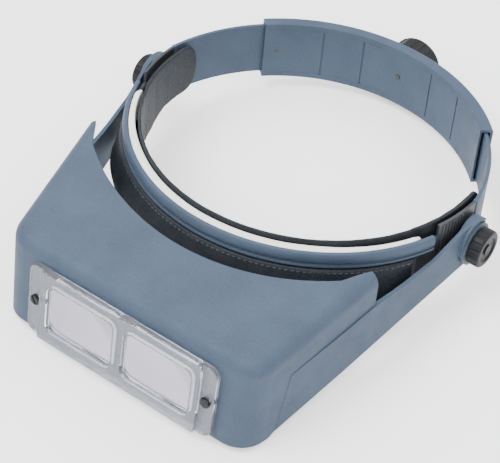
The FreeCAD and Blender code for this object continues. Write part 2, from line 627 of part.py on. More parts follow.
def visor_shell():
    outer = hood_block(0.0, 0.0, HOOD_BACK_Y)
    inner = hood_block(WALL, 2 * CUT_MARGIN, HOOD_BACK_Y + 2 * CUT_MARGIN)
    hood = outer.cut(inner)
    hood = hood.cut(rear_edge_cutter())
    hood = hood.cut(Part.makeBox(BIG, BIG, BIG, Vector(-BIG / 2, HOOD_CORNER_Y, -BIG / 2)))
    boss = rod_x(BOSS_RADIUS, BOSS_INNER_X, BOSS_OUTER_X, BOSS_Y, BOSS_Z)
    arm = arm_plate().fuse(boss)
    outside = BOSS_OUTER_X + 2 * CUT_MARGIN
    inside = BOSS_INNER_X - 2 * CUT_MARGIN
    groove = rod_x(COLLAR_RADIUS + COLLAR_RECESS, BOSS_OUTER_X - COLLAR_SEAT, outside)
    bore = rod_x(BUSH_RADIUS + RUNNING_CLEARANCE, inside, outside)
    inner_face = rod_x(BOSS_RADIUS + CUT_MARGIN, inside, BOSS_INNER_X)
    arm = arm.cut(groove).cut(bore).cut(inner_face)
    shell = hood.multiFuse([arm, mirrored(arm)])
    for side in (-1, 1):
        x = side * SCREW_SPACING / 2
        boss = plate_place(rod_y(NUT_BOSS_RADIUS, WALL / 2, WALL + NUT_LENGTH, x))
        shell = shell.fuse(boss)
        shell = shell.cut(plate_place(rod_y(SCREW_RADIUS + SCREW_HOLE_PLAY, -1, BIG, x)))
        shell = shell.cut(plate_place(rod_y(NUT_RADIUS, NUT_START, BIG, x)))
        shell = shell.cut(plate_place(window_block(side, WINDOW_MARGIN, -5 * CUT_MARGIN, CUT_MARGIN)))
    return shell.removeSplitter()


def lens_frame():
    """Clear plate with two end flanges, a raised middle block and two lens windows."""
    flange = rounded_block(PLATE_WIDTH, PLATE_FLANGE, PLATE_HEIGHT, PLATE_CORNER)
    depth = PLATE_FLANGE + PLATE_BLOCK
    plate = flange.fuse(rounded_block(PLATE_BLOCK_WIDTH, depth, PLATE_HEIGHT, BLOCK_CORNER))
    for side in (-1, 1):
        plate = plate.cut(window_block(side, 0.0, -1, depth - LENS_RECESS))
        plate = plate.cut(window_block(side, WINDOW_LEDGE, depth - LENS_RECESS, depth + 1))
        plate = plate.cut(rod_y(SCREW_RADIUS + SCREW_HOLE_PLAY, -BIG, 1, side * SCREW_SPACING / 2))
    return plate_place(plate.removeSplitter())


def lens(side):
    """Magnifying lens: flat on the outside, bulging to the eye."""
    depth = PLATE_FLANGE + PLATE_BLOCK
    x = side * (WINDOW_BAR + WINDOW_WIDTH) / 2
    blank = rounded_block(WINDOW_WIDTH - 2 * LENS_CLEARANCE, LENS_EDGE + LENS_BULGE,
                          WINDOW_HEIGHT - 2 * LENS_CLEARANCE, WINDOW_CORNER)
    blank.translate(Vector(x, -(depth - LENS_RECESS - LENS_EDGE - LENS_BULGE), 0))
    half_diagonal = sqrt(WINDOW_WIDTH ** 2 + WINDOW_HEIGHT ** 2) / 2
    radius = (half_diagonal ** 2 + LENS_BULGE ** 2) / (2 * LENS_BULGE)
    eye_side = -(depth - LENS_RECESS - LENS_EDGE - LENS_BULGE)
    ball = Part.makeSphere(radius, Vector(x, eye_side - radius, 0))
    return plate_place(blank.common(ball))


def lens_screws():
    screws = []
    for side in (-1, 1):
        x = side * SCREW_SPACING / 2
        top = -(PLATE_FLANGE + SCREW_HEAD_HEIGHT)
        head = rod_y(SCREW_HEAD_RADIUS, top, -PLATE_FLANGE, x)
        rim = [e for e in head.Edges if abs(e.CenterOfMass.y - top) < 10 * TINY]
        head = head.makeFillet(SCREW_HEAD_ROUND, rim)
        slot = Part.makeBox(SCREW_SLOT_WIDTH, SCREW_SLOT_DEPTH, 4 * SCREW_HEAD_RADIUS,
                            Vector(x - SCREW_SLOT_WIDTH / 2, top, -2 * SCREW_HEAD_RADIUS))
        slot.rotate(Vector(x, 0, 0), BACKWARDS, SCREW_SLOT_TURN * side)
        shank = rod_y(SCREW_RADIUS, -PLATE_FLANGE - WELD, SCREW_LENGTH - PLATE_FLANGE, x)
        screws.append(plate_place(head.fuse(shank).cut(slot).removeSplitter()))
    return Part.makeCompound(screws)


def lens_nuts():
    nuts = []
    for side in (-1, 1):
        x = side * SCREW_SPACING / 2
        nut = rod_y(NUT_RADIUS - NUT_FIT, NUT_START + NUT_FIT, WALL + NUT_LENGTH, x)
        nuts.append(plate_place(nut.cut(rod_y(SCREW_RADIUS + NUT_FIT, -1, BIG, x))))
    return Part.makeCompound(nuts)


# ---------------------------------------------------------------- size adjuster

def rack_cutter(shift):
    """Cutter that shapes a row of rack teeth out of a strap edge, for the upper rack at the back."""
    slope = tan(radians(PRESSURE_ANGLE))
    half_gap = TOOTH_PITCH / 4 + FLANK_CLEARANCE
    low = half_gap + (PITCH_RADIUS - (RACK_TIP - 1)) * slope
    high = half_gap - (RACK_ROOT - PITCH_RADIUS) * slope
    points = [Vector(-low, 0, RACK_TIP - 1), Vector(low, 0, RACK_TIP - 1),
              Vector(high, 0, RACK_ROOT), Vector(-high, 0, RACK_ROOT)]
    gap = prism(points, Vector(0, 20, 0))
    gap.translate(Vector(shift, BACK_REACH - 10, 0))
    pitch_angle = degrees(TOOTH_PITCH / STRAP_RADIUS)
    count = ceil((STRAP_HALF_FROM + TAIL_REACH) / pitch_angle)
    first = -int(STRAP_HALF_FROM / pitch_angle) + 1
    gaps = []
    for i in range(first, first + count):
        copy = gap.copy()
        copy.rotate(Vector(0, REAR_CENTRE_Y, 0), UP, -i * pitch_angle)
        gaps.append(copy)
    return gaps[0].multiFuse(gaps[1:])


def strap(side):
    """Side strap (side 1 is +X). It ends in a half-height tail with a toothed edge.

    The +X strap carries the lower rack and the -X strap the upper one.
    """
    full = sector(REAR_CENTRE_Y, STRAP_INNER, STRAP_OUTER, -HALF_BAND, HALF_BAND,
                  STRAP_HINGE_ANGLE, 90 - STRAP_HALF_FROM)
    tail = sector(REAR_CENTRE_Y, STRAP_INNER, STRAP_OUTER, RACK_TIP, HALF_BAND,
                  90 - STRAP_HALF_FROM - 1, 90 + TAIL_REACH)
    barrel = Part.makeCylinder(STRAP_BARREL_RADIUS, BAND_HEIGHT,
                               Vector(HINGE_X, STRAP_HINGE_Y, -HALF_BAND))
    body = full.multiFuse([tail, barrel])
    teeth = mirrored(rack_cutter(RACK_PHASE))
    body = body.cut(teeth.common(sector(REAR_CENTRE_Y, STRAP_INNER - 2, STRAP_OUTER + 2, 0, HALF_BAND,
                                        90 - STRAP_HALF_FROM + 1, 90 + TAIL_REACH + 5)))
    if side == 1:
        return body.mirror(ORIGIN, UP).removeSplitter()
    return mirrored(body).removeSplitter()


def rear_sleeve():
    """Curved channel behind the head that the two straps slide in."""
    half = SLEEVE_HEIGHT / 2
    lip_inner = half - COVER_LIP * 2
    lip_face = CAVITY_INNER
    outline = [(SLEEVE_OUTER, -half + 1.2), (SLEEVE_OUTER, half - 1.2),
               (SLEEVE_OUTER - 0.35, half - 0.35, "arc"), (SLEEVE_OUTER - 1.2, half),
               (SLEEVE_INNER, half), (SLEEVE_INNER, lip_inner), (lip_face, lip_inner),
               (lip_face, CAVITY_HALF_HEIGHT), (CAVITY_OUTER, CAVITY_HALF_HEIGHT),
               (CAVITY_OUTER, -CAVITY_HALF_HEIGHT), (lip_face, -CAVITY_HALF_HEIGHT),
               (lip_face, -lip_inner), (SLEEVE_INNER, -lip_inner), (SLEEVE_INNER, -half),
               (SLEEVE_OUTER - 1.2, -half), (SLEEVE_OUTER - 0.35, -half + 0.35, "arc")]
    body = revolved(outline, REAR_CENTRE_Y, 90 - SLEEVE_HALF_ANGLE, 90 + SLEEVE_HALF_ANGLE)
    return body.cut(rod_y(SHAFT_RADIUS + RUNNING_CLEARANCE, BACK_REACH, SLEEVE_BACK_Y + 10))


def rear_cover():
    """Inner face of the sleeve, with four score lines where it bends."""
    half = SLEEVE_HEIGHT / 2 - COVER_LIP * 2 - RUNNING_CLEARANCE
    outer = SLEEVE_INNER + COVER_THICKNESS
    cover = sector(REAR_CENTRE_Y, SLEEVE_INNER, outer, -half, half,
                   90 - SLEEVE_HALF_ANGLE, 90 + SLEEVE_HALF_ANGLE)
    width = degrees(COVER_GROOVE_WIDTH / SLEEVE_INNER)
    for angle in COVER_GROOVES:
        for side in (-1, 1):
            start = 90 + side * angle - width / 2
            cover = cover.cut(sector(REAR_CENTRE_Y, SLEEVE_INNER - 1, SLEEVE_INNER + COVER_GROOVE_DEPTH,
                                     -half - 1, half + 1, start, start + width))
    for angle in RIVET_ANGLES:
        cover = cover.cut(rivet_rod(angle, RUNNING_CLEARANCE))
    return cover.cut(rod_y(PIN_RADIUS + RUNNING_CLEARANCE, 60, BACK_REACH))


def rivet_rod(angle, extra=0.0):
    rod = Part.makeCylinder(RIVET_RADIUS + extra, CAVITY_INNER - SLEEVE_INNER + 2 * extra,
                            Vector(SLEEVE_INNER - extra, REAR_CENTRE_Y, 0), ALONG_X)
    rod.rotate(Vector(0, REAR_CENTRE_Y, 0), UP, angle)
    return rod


def cover_rivets():
    return Part.makeCompound([rivet_rod(angle) for angle in RIVET_ANGLES])


def pinion_outline():
    """Points of the pinion in the X-Z plane, one tooth pointing up."""
    base = PITCH_RADIUS * cos(radians(PRESSURE_ANGLE))
    involute_pitch = tan(radians(PRESSURE_ANGLE)) - radians(PRESSURE_ANGLE)
    half_tooth = pi / (2 * GEAR_TEETH)
    steps = 4
    points = []
    for tooth in range(GEAR_TEETH):
        middle = 2 * pi * tooth / GEAR_TEETH
        flank = [(PINION_ROOT, half_tooth + involute_pitch)]
        for k in range(steps + 1):
            r = base + (PINION_TIP - base) * k / steps
            angle = sqrt(max((r / base) ** 2 - 1, 0))
            involute = angle - atan2(angle, 1)
            flank.append((r, half_tooth + involute_pitch - involute))
        for r, a in flank:
            points.append((r, middle - a))
        for r, a in reversed(flank):
            points.append((r, middle + a))
    return [Vector(r * sin(a), 0, r * cos(a)) for r, a in points]


def pinion_shaft():
    """Pinion with its shaft through the sleeve and a pin that shows inside."""
    gear_y = BACK_REACH - PINION_FACE / 2
    gear = prism(pinion_outline(), Vector(0, PINION_FACE, 0))
    gear.translate(Vector(0, gear_y, 0))
    shaft = rod_y(SHAFT_RADIUS, gear_y + 1, SHAFT_END_Y)
    pin = rod_y(PIN_RADIUS, REAR_CENTRE_Y + SLEEVE_INNER - 0.4, gear_y + 1)
    return gear.multiFuse([shaft, pin]).removeSplitter()


def rear_knob():
    knob = fluted_knob(REAR_KNOB_RADIUS, REAR_KNOB_DEPTH, REAR_KNOB_FLUTES, REAR_KNOB_CROWN)
    knob.rotate(ORIGIN, ALONG_X, -90)
    knob.translate(Vector(0, SLEEVE_BACK_Y + WASHER_THICKNESS + 2 * FACE_GAP, 0))
    return knob.cut(rod_y(SHAFT_RADIUS, SLEEVE_BACK_Y, SHAFT_END_Y + 0.05))


def detent_washer():
    ring = rod_y(DETENT_WASHER_RADIUS, SLEEVE_BACK_Y + FACE_GAP,
                 SLEEVE_BACK_Y + FACE_GAP + WASHER_THICKNESS)
    return ring.cut(rod_y(SHAFT_RADIUS + RUNNING_CLEARANCE, SLEEVE_BACK_Y - 5, SLEEVE_BACK_Y + 5))


# ---------------------------------------------------------------- whole object

def build():
    nodes = {
        "headband_core": headband_core(),
        "front_rail": front_rail(),
        "rail_pins": rail_pins(),
        "foam_strip": foam_strip(),
        "comfort_band": comfort_band(),
        "rear_sleeve": rear_sleeve(),
        "rear_cover": rear_cover(),
        "cover_rivets": cover_rivets(),
        "left_strap": strap(1),
        "right_strap": strap(-1),
        "pinion_shaft": pinion_shaft(),
        "rear_knob": rear_knob(),
        "detent_washer": detent_washer(),
        "visor_shell": visor_shell(),
        "lens_frame": lens_frame(),
        "left_lens": lens(1),
        "right_lens": lens(-1),
        "lens_screws": lens_screws(),
        "lens_nuts": lens_nuts(),
    }
    paired = {
        "pivot_bolt": pivot_bolt(),
        "pivot_bush": pivot_bush(),
        "friction_washer": friction_washer(),
        "pivot_collar": pivot_collar(),
        "wave_washer": wave_washer(),
        "pivot_knob": pivot_knob(),
        "knob_insert": knob_insert(),
    }
    for name, shape in paired.items():
        nodes["left_" + name] = shape
        nodes["right_" + name] = mirrored(shape)
    return nodes


def lying_angle():
    """Tilt about X that puts the visor's lower front edge and the sleeve's lower rear edge level."""
    front = (front_y(HOOD_BOTTOM_Z), HOOD_BOTTOM_Z)
    back = (SLEEVE_BACK_Y, -SLEEVE_HEIGHT / 2)
    return -degrees(atan2(back[1] - front[1], back[0] - front[0]))


def main():
    nodes = build()
    tilt = lying_angle()
    for shape in nodes.values():
        shape.rotate(ORIGIN, ALONG_X, tilt)
    box = Part.makeCompound(list(nodes.values())).optimalBoundingBox(False, False)
    shift = Vector(0, -(box.YMin + box.YMax) / 2, -box.ZMin)
    os.makedirs("parts", exist_ok=True)
    for name, shape in nodes.items():
        shape.translate(shift)
        shape.exportStep("parts/" + name + ".step")
    turn = FreeCAD.Rotation(ALONG_X, tilt)
    print("tilt", round(tilt, 4), "shift", tuple(round(v, 4) for v in shift))
    for name, point in (("head centre", ORIGIN), ("pivot", Vector(0, PIVOT_Y, PIVOT_Z)),
                        ("strap hinge", Vector(HINGE_X, STRAP_HINGE_Y, 0)),
                        ("rear knob", Vector(0, BACK_REACH, 0))):
        placed = turn.multVec(point).add(shift)
        print(name, tuple(round(v, 4) for v in placed))
    for name, axis in (("up", UP), ("backwards", BACKWARDS)):
        placed = turn.multVec(axis)
        print(name, tuple(round(v, 6) for v in placed))
    arm = STRAP_RADIUS * cos(radians(STRAP_HINGE_ANGLE)) / 1000
    turn_ratio = (1 - sin(radians(STRAP_HINGE_ANGLE))) * STRAP_RADIUS / PITCH_RADIUS
    print("strap rad per m of sleeve", round(1 / arm, 4), "knob rad per m", round(turn_ratio / arm, 4))


main()
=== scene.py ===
"""Looks of the head visor magnifier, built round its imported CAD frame. Metres."""

import json
from math import asin, atan2, cos, degrees, hypot, pi, radians, sin, sqrt

import bpy
import bmesh
from mathutils import Matrix, Vector, noise


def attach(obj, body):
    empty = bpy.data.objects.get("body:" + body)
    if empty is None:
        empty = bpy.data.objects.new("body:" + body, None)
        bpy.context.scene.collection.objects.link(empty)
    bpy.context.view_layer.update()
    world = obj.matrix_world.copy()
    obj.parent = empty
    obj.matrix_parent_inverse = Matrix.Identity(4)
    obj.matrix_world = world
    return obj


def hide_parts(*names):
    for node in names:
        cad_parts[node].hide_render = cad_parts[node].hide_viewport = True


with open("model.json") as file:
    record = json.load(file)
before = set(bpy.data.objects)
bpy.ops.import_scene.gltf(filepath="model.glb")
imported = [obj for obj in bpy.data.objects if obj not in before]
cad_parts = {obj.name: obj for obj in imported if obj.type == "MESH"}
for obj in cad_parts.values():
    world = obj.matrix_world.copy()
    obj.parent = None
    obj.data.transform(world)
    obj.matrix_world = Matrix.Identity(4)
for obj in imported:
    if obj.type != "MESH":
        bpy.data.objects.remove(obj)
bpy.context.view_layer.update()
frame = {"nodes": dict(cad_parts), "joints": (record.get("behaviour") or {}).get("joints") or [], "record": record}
MM = 0.001

# ---------------------------------------------------------------- head frame, as in part.py

# X is sideways, Y points backwards and Z up along the head. Millimetres and degrees, until at().
PIVOT_Y = 4.5
PIVOT_IN_HEAD = Vector((0, PIVOT_Y, -4.5)) * MM
FRONT_CENTRE_Y = 9.6         # centre of the headband's front half
RAIL_INNER = 99.3
FOAM_LOWER_OUTER = 97.1
FOAM_UPPER_OUTER = 99.0
FOAM_INNER = 94.3
FOAM_BOTTOM = 2.0
FOAM_STEP = 8.8
FOAM_TOP = 11.5
FOAM_END = -22.0
FOAM_THINS = 1.5             # the foam is this much thinner towards the temples
LEATHER_TOP = 14.8
LEATHER_BOTTOM = -21.0
LEATHER_FLAP_TOP = 3.0
LEATHER_FLAP_THICKNESS = 4.2
LEATHER_FLAP_END = -24.0
LEATHER_FOLD = 2.2
LEATHER_INNER_FRONT = 82.8
LEATHER_INNER_SIDE = 92.2
LEATHER_OUTER_SIDE = 94.6
LEATHER_END_Y = 24.0
LEATHER_END_ROUND = 9.0
LEATHER_TAPER_Y = -24.0
LEATHER_LOW_END = -15.2
SHEET_OUTER = FOAM_INNER - 0.35
FLARE_Z = -8.0               # the flap starts to stand out at this height

# steps and surface unevenness of the swept padding
FOAM_STEPS = 220
FOAM_RING = 72
FOAM_TRIM = 0.1              # the foam's skin lies this far inside its plain solid
FOAM_PROUD = 0.35            # and its top face this far above it
LEATHER_STEPS = 300
LEATHER_RING = 140
CORNER_EASING = 3            # rounds of averaging that soften a section's corners
PAD_SWELL = 0.4125           # how far the leather crowns towards the forehead
PAD_PLEAT = 0.21
FLAP_RIPPLE = 0.5
HEM_DROOP = 0.25

# thread
STITCH_PITCH = 0.0030        # metres
STITCH_LENGTH = 0.0021
THREAD_RADIUS = 0.00028
SEAM_POINTS = 400

joints = {j["name"]: j for j in frame["joints"]}
backwards = Vector(joints["size_slide"]["axis"])
lying = atan2(backwards.z, backwards.y)
turn = Matrix.Rotation(lying, 4, "X")
head_centre = Vector(joints["visor_tilt"]["pos_m"]) - turn @ PIVOT_IN_HEAD
HEAD = Matrix.Translation(head_centre) @ turn


def at(x, y, z):
    """A point of the head frame, given in millimetres, in the row frame."""
    return HEAD @ Vector((x * MM, y * MM, z * MM))


# ---------------------------------------------------------------- camera, floor and light

CAMERA_AZIMUTH = radians(31.42)
CAMERA_ELEVATION = radians(38.48)
CAMERA_ROLL = radians(6.75)
CAMERA_DISTANCE = 0.96556
CAMERA_LENS = 130.745
SENSOR_WIDTH = 36.0
AIM_RIGHT = -0.02910         # where the picture's middle lies from the head centre, as slopes
AIM_UP = -0.04319

FLOOR_HALF = 6.0
FLOOR_BELOW = 0.0015
FLOOR_GLOW = 0.7             # the pale floor is a softly lit table
SKY_OVERHEAD = 2.6           # the studio is bright above and dim round its walls
SKY_AT_WALLS = 0.10


def add_camera():
    back = Vector((sin(CAMERA_AZIMUTH) * cos(CAMERA_ELEVATION),
                   -cos(CAMERA_AZIMUTH) * cos(CAMERA_ELEVATION), sin(CAMERA_ELEVATION)))
    right = Vector((cos(CAMERA_AZIMUTH), sin(CAMERA_AZIMUTH), 0))
    up = back.cross(right)
    rolled_right = cos(CAMERA_ROLL) * right + sin(CAMERA_ROLL) * up
    rolled_up = cos(CAMERA_ROLL) * up - sin(CAMERA_ROLL) * right
    forward = (AIM_RIGHT * rolled_right + AIM_UP * rolled_up - back).normalized()
    side = forward.cross(rolled_up).normalized()
    top = side.cross(forward)
    spin = Matrix((side, top, -forward)).transposed()
    camera_data = bpy.data.cameras.new("camera")
    camera_data.lens = CAMERA_LENS
    camera_data.sensor_width = SENSOR_WIDTH
    camera = bpy.data.objects.new("camera", camera_data)
    bpy.context.scene.collection.objects.link(camera)
    place = Matrix.Translation(HEAD @ (back * CAMERA_DISTANCE))
    camera.matrix_world = place @ turn @ spin.to_4x4()
    bpy.context.scene.camera = camera


def mesh_object(name, vertices, faces, smooth=True):
    mesh = bpy.data.meshes.new(name)
    mesh.from_pydata([tuple(v) for v in vertices], [], faces)
    mesh.update()
    made = bpy.data.objects.new(name, mesh)
    bpy.context.scene.collection.objects.link(made)
    for face in mesh.polygons:
        face.use_smooth = smooth
    return made


def add_floor():
    corners = [(-FLOOR_HALF, -FLOOR_HALF, 0), (FLOOR_HALF, -FLOOR_HALF, 0),
               (FLOOR_HALF, FLOOR_HALF, 0), (-FLOOR_HALF, FLOOR_HALF, 0)]
    floor = mesh_object("floor", corners, [(0, 1, 2, 3)], smooth=False)
    floor.location.z = -FLOOR_BELOW
    floor.data.materials.append(plain("floor_white", (0.93, 0.93, 0.93), 0.9, glow=FLOOR_GLOW))


def add_light(name, place, aim, size, power):
    data = bpy.data.lights.new(name, "AREA")
    data.shape = "DISK"
    data.size = size
    data.energy = power
    light = bpy.data.objects.new(name, data)
    bpy.context.scene.collection.objects.link(light)
    light.location = place
    light.rotation_euler = (Vector(aim) - Vector(place)).to_track_quat("-Z", "Y").to_euler()


def add_lights():
    world = bpy.data.worlds.new("studio")
    world.use_nodes = True
    tree = world.node_tree
    direction = tree.nodes.new("ShaderNodeTexCoord").outputs["Generated"]
    height = tree.nodes.new("ShaderNodeSeparateXYZ")
    tree.links.new(direction, height.inputs["Vector"])
    strength = tree.nodes.new("ShaderNodeMapRange")
    strength.interpolation_type = "SMOOTHSTEP"
    strength.inputs["From Min"].default_value = 0.0
    strength.inputs["From Max"].default_value = 0.8
    strength.inputs["To Min"].default_value = SKY_AT_WALLS
    strength.inputs["To Max"].default_value = SKY_OVERHEAD
    tree.links.new(height.outputs["Z"], strength.inputs["Value"])
    tree.links.new(strength.outputs["Result"], tree.nodes["Background"].inputs["Strength"])
    tree.nodes["Background"].inputs["Color"].default_value = (1, 1, 1, 1)
    bpy.context.scene.world = world
    aim = (0, 0, 0.03)
    add_light("key", (-0.7, -0.6, 2.0), aim, 1.2, 38)
    add_light("fill", (1.5, -0.7, 1.0), aim, 1.4, 2)
    add_light("rear", (0.3, 1.5, 1.3), aim, 1.4, 8)


# ---------------------------------------------------------------- materials

class Nodes:
    """Small helper that adds and links shader nodes of one material."""

    def __init__(self, name):
        self.material = bpy.data.materials.new(name)
        self.material.use_nodes = True
        self.tree = self.material.node_tree
        self.shader = self.tree.nodes["Principled BSDF"]
        self.place = self.add("ShaderNodeNewGeometry").outputs["Position"]

    def add(self, kind, **settings):
        node = self.tree.nodes.new(kind)
        for key, value in settings.items():
            if hasattr(node, key):
                setattr(node, key, value)
            else:
                node.inputs[key].default_value = value
        return node

    def link(self, out, into):
        self.tree.links.new(out, into)

    def noise(self, scale, detail=3.0, rough=0.5):
        node = self.add("ShaderNodeTexNoise")
        node.inputs["Scale"].default_value = scale
        node.inputs["Detail"].default_value = detail
        node.inputs["Roughness"].default_value = rough
        self.link(self.place, node.inputs["Vector"])
        return node.outputs["Fac"]

    def cells(self, scale, feature="DISTANCE_TO_EDGE"):
        node = self.add("ShaderNodeTexVoronoi", feature=feature)
        node.inputs["Scale"].default_value = scale
        self.link(self.place, node.inputs["Vector"])
        return node.outputs["Distance"]

    def ramp(self, source, low, high, low_value, high_value):
        node = self.add("ShaderNodeMapRange")
        limits = {"From Min": low, "From Max": high, "To Min": low_value, "To Max": high_value}
        for key, value in limits.items():
            node.inputs[key].default_value = value
        self.link(source, node.inputs["Value"])
        return node.outputs["Result"]

    def mix(self, factor, first, second):
        node = self.add("ShaderNodeMix", data_type="RGBA")
        self.link(factor, node.inputs["Factor"])
        colour_a, colour_b = 6, 7    # the mix node's colour sockets share their names with others
        for value, socket in ((first, node.inputs[colour_a]), (second, node.inputs[colour_b])):
            if isinstance(value, tuple):
                socket.default_value = value + (1,)
            else:
                self.link(value, socket)
        colour_result = 2
        return node.outputs[colour_result]

    def bump(self, height, strength, distance, normal=None):
        node = self.add("ShaderNodeBump")
        node.inputs["Strength"].default_value = strength
        node.inputs["Distance"].default_value = distance
        self.link(height, node.inputs["Height"])
        if normal is not None:
            self.link(normal, node.inputs["Normal"])
        return node.outputs["Normal"]

    def rounded_edges(self, radius):
        node = self.add("ShaderNodeBevel")
        node.samples = 4
        node.inputs["Radius"].default_value = radius
        return node.outputs["Normal"]

    def edge_mask(self, radius):
        """1 on sharp edges, 0 on open faces."""
        soft = self.rounded_edges(radius)
        dot = self.add("ShaderNodeVectorMath", operation="DOT_PRODUCT")
        self.link(soft, dot.inputs[0])
        self.link(self.tree.nodes["Geometry"].outputs["True Normal"], dot.inputs[1])
        return self.ramp(dot.outputs["Value"], 0.995, 0.80, 0.0, 1.0)


def plain(name, colour, roughness, glow=0.0):
    nodes = Nodes(name)
    nodes.shader.inputs["Emission Color"].default_value = (1, 1, 1, 1)
    nodes.shader.inputs["Emission Strength"].default_value = glow
    nodes.shader.inputs["Base Color"].default_value = colour + (1,)
    nodes.shader.inputs["Roughness"].default_value = roughness
    return nodes.material


def moulded(name, colour, worn, roughness, grain=2600.0, shift=0.09, specular=0.5):
    """Moulded plastic: fine spark grain, faint clouding and slightly polished, lighter edges."""
    edge = 0.0004
    grain_depth = 0.00003
    nodes = Nodes(name)
    cloud = nodes.noise(38.0, 4.0, 0.55)
    dark = tuple(c * (1 - shift) for c in colour)
    light = tuple(min(c * (1 + shift), 1.0) for c in colour)
    base = nodes.mix(nodes.ramp(cloud, 0.35, 0.65, 0.0, 1.0), dark, light)
    speck = nodes.mix(nodes.ramp(nodes.noise(1500.0, 2.0), 0.42, 0.62, 0.0, 0.22), base, worn)
    mask = nodes.edge_mask(edge)
    colour_out = nodes.mix(nodes.ramp(mask, 0.0, 1.0, 0.0, 0.55), speck, worn)
    nodes.link(colour_out, nodes.shader.inputs["Base Color"])
    streak = nodes.noise(120.0, 3.0)
    nodes.link(nodes.ramp(streak, 0.3, 0.7, roughness - 0.06, roughness + 0.07),
               nodes.shader.inputs["Roughness"])
    nodes.shader.inputs["Specular IOR Level"].default_value = specular
    normal = nodes.bump(nodes.noise(grain, 2.0, 0.6), 0.35, grain_depth, nodes.rounded_edges(edge))
    nodes.link(normal, nodes.shader.inputs["Normal"])
    return nodes.material


def leather_material():
    nodes = Nodes("grained_leather")
    warp = nodes.noise(900.0, 3.0)
    cells = nodes.cells(820.0)
    fine = nodes.cells(2100.0)
    creases = nodes.ramp(cells, 0.0, 0.16, 0.0, 1.0)
    cloud = nodes.noise(60.0, 4.0)
    base = nodes.mix(nodes.ramp(cloud, 0.3, 0.7, 0.0, 1.0),
                     (0.014, 0.018, 0.024), (0.026, 0.032, 0.041))
    # The cell edges of the grain are painted near-black here: painted shade in the grain's creases.
    colour = nodes.mix(creases, (0.009, 0.010, 0.012), base)
    nodes.link(colour, nodes.shader.inputs["Base Color"])
    nodes.link(nodes.ramp(warp, 0.3, 0.7, 0.50, 0.66), nodes.shader.inputs["Roughness"])
    nodes.shader.inputs["Specular IOR Level"].default_value = 0.22
    normal = nodes.bump(creases, 0.55, 0.00012)
    normal = nodes.bump(nodes.ramp(fine, 0.0, 0.3, 0.0, 1.0), 0.3, 0.00004, normal)
    normal = nodes.bump(nodes.noise(180.0, 3.0), 0.4, 0.0004, normal)
    nodes.link(normal, nodes.shader.inputs["Normal"])
    return nodes.material


def foam_material():
    nodes = Nodes("open_foam")
    pores = nodes.cells(1500.0, "F1")
    # The pores are painted darker grey than the foam between them: painted shade in the pore hollows.
    base = nodes.mix(nodes.ramp(pores, 0.15, 0.6, 0.0, 1.0), (0.70, 0.70, 0.68), (0.90, 0.90, 0.88))
    tone = nodes.mix(nodes.ramp(nodes.noise(90.0, 3.0), 0.35, 0.7, 0.0, 0.5), base, (0.93, 0.92, 0.88))
    nodes.link(tone, nodes.shader.inputs["Base Color"])
    nodes.shader.inputs["Roughness"].default_value = 0.92
    nodes.shader.inputs["Subsurface Weight"].default_value = 0.12
    nodes.shader.inputs["Subsurface Radius"].default_value = (0.002, 0.002, 0.002)
    nodes.link(nodes.bump(pores, 0.7, 0.00025), nodes.shader.inputs["Normal"])
    return nodes.material


def clear_material(name, tint, roughness, haze, ior=1.49):
    """Clear moulded plastic or lens, with a little haze in its surface."""
    nodes = Nodes(name)
    cloud = nodes.noise(70.0, 4.0)
    deeper = tuple(c * 0.95 for c in tint)
    nodes.link(nodes.mix(nodes.ramp(cloud, 0.3, 0.7, 0.0, 1.0), tint, deeper),
               nodes.shader.inputs["Base Color"])
    nodes.link(nodes.ramp(nodes.noise(260.0, 3.0), 0.3, 0.7, roughness, roughness + 0.03),
               nodes.shader.inputs["Roughness"])
    nodes.shader.inputs["IOR"].default_value = ior
    nodes.shader.inputs["Transmission Weight"].default_value = 1.0 - haze
    nodes.link(nodes.bump(nodes.noise(55.0, 2.0), 0.06, 0.0004, nodes.rounded_edges(0.0005)),
               nodes.shader.inputs["Normal"])
    return nodes.material


def metal(name, colour, roughness, brushed=0.0):
    nodes = Nodes(name)
    darker = tuple(c * 0.82 for c in colour)
    streaks = nodes.noise(700.0, 3.0)
    nodes.link(nodes.mix(nodes.ramp(streaks, 0.3, 0.7, 0.0, 1.0), darker, colour),
               nodes.shader.inputs["Base Color"])
    nodes.shader.inputs["Metallic"].default_value = 1.0
    nodes.link(nodes.ramp(nodes.noise(240.0, 3.0), 0.3, 0.7, roughness - 0.08, roughness + 0.08),
               nodes.shader.inputs["Roughness"])
    nodes.link(nodes.bump(streaks, 0.15 + brushed, 0.00003, nodes.rounded_edges(0.0002)),
               nodes.shader.inputs["Normal"])
    return nodes.material


def fibre_material():
    nodes = Nodes("pressed_fibre")
    fibres = nodes.ramp(nodes.noise(900.0, 5.0), 0.35, 0.65, 0.0, 1.0)
    nodes.link(nodes.mix(fibres, (0.22, 0.12, 0.08), (0.36, 0.21, 0.14)),
               nodes.shader.inputs["Base Color"])
    nodes.shader.inputs["Roughness"].default_value = 0.8
    nodes.link(nodes.bump(nodes.noise(1800.0, 3.0), 0.4, 0.00006), nodes.shader.inputs["Normal"])
    return nodes.material


def thread_material():
    nodes = Nodes("waxed_thread")
    strands = nodes.ramp(nodes.noise(1400.0, 2.0), 0.4, 0.6, 0.0, 1.0)
    nodes.link(nodes.mix(strands, (0.030, 0.035, 0.042), (0.065, 0.073, 0.085)),
               nodes.shader.inputs["Base Color"])
    nodes.shader.inputs["Roughness"].default_value = 0.6
    nodes.link(nodes.bump(nodes.noise(3000.0, 2.0), 0.5, 0.00005), nodes.shader.inputs["Normal"])
    return nodes.material


